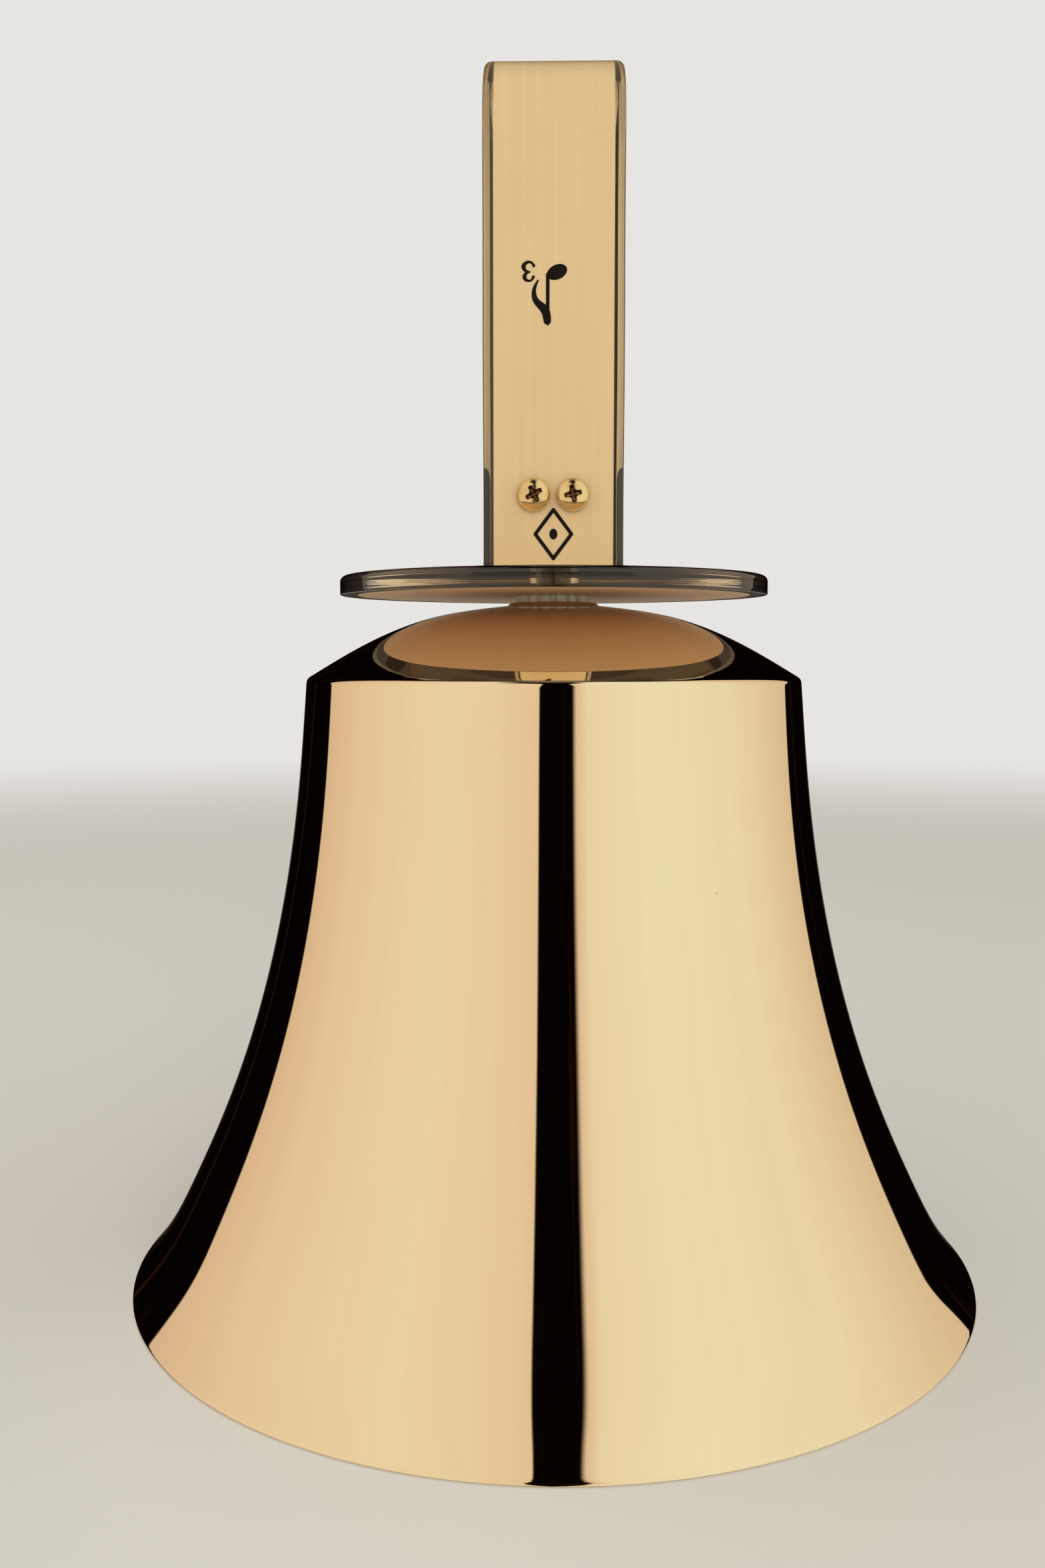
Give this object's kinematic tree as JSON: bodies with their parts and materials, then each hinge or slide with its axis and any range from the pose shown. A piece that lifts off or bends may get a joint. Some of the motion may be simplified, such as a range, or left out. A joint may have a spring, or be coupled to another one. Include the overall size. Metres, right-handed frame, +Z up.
{
  "type": "handbell",
  "caption": "Large polished bronze handbell standing on its mouth, with a clear hand guard, a strap handle and a spring-restrained clapper inside.",
  "frame": {"origin": "centre of the bell's mouth plane, where it stands on a table", "axes": "+Z up along the bell's axis towards the handle, -Y is the front with the flat of the strap, the clapper's axle runs along X"},
  "size_m": [0.2286, 0.2285, 0.3225],
  "materials": {
    "bronze": "mirror-polished bronze",
    "clear_plastic": "clear acrylic and clear flexible vinyl",
    "cream_plastic": "smooth cream sheet",
    "black_nylon": "moulded black nylon",
    "white_nylon": "moulded white nylon",
    "steel": "zinc-plated steel",
    "brass": "polished brass",
    "leather": "natural leather",
    "felt": "dense pressed felt",
    "rubber": "firm rubber",
    "hard_plastic": "hard white plastic"
  },
  "bodies": {
    "bell": {"casting": "bronze", "crown_spacer": "clear_plastic", "hand_guard": "clear_plastic", "guard_backing": "cream_plastic", "handle_jacket": "clear_plastic", "handle_core": "cream_plastic", "handle_block": "black_nylon", "block_cap": "black_nylon", "nut_washer": "steel", "handle_nut": "steel", "handle_screws": "brass", "crown_bolt": "steel", "inner_washer": "leather", "yoke": "black_nylon", "axle": "steel", "axle_clips": "steel", "spring_barrels": "brass", "barrel_locknuts": "brass", "front_spring": "steel", "rear_spring": "steel"},
    "clapper": {"clapper_hub": "black_nylon", "hub_bushings": "white_nylon", "hub_set_screw": "steel", "clapper_shaft": "steel", "detent_collar": "brass", "collar_set_screw": "steel", "head_spring": "steel", "spring_washer": "steel", "end_nut": "steel"},
    "clapper_head": {"head_core": "black_nylon", "head_bushing": "white_nylon", "soft_pads": "felt", "medium_pads": "rubber", "hard_pads": "hard_plastic"},
    "front_plunger": {"front_plunger": "white_nylon"},
    "rear_plunger": {"rear_plunger": "white_nylon"}
  },
  "joints": [
    {"name": "clapper_swing", "type": "hinge", "parent": "bell", "child": "clapper", "pos_m": [0, 0, 0.15], "axis": [1, 0, 0], "range_deg": [-23.9, 23.9], "stiffness_Nm_per_rad": 0.15},
    {"name": "head_turn", "type": "hinge", "parent": "clapper", "child": "clapper_head", "pos_m": [0, 0, 0.023], "axis": [0, 0, 1], "continuous": true},
    {"name": "front_plunger_slide", "type": "slide", "parent": "bell", "child": "front_plunger", "axis": [0, 0, 1], "range_m": [-0.0059, 0.0059], "deforming": ["front_spring"]},
    {"name": "rear_plunger_slide", "type": "slide", "parent": "bell", "child": "rear_plunger", "axis": [0, 0, 1], "range_m": [-0.0059, 0.0059], "deforming": ["rear_spring"]}
  ],
  "couplings": [
    {"joint": "front_plunger_slide", "follows": "clapper_swing", "m_per_rad": -0.014},
    {"joint": "rear_plunger_slide", "follows": "clapper_swing", "m_per_rad": 0.014}
  ]
}
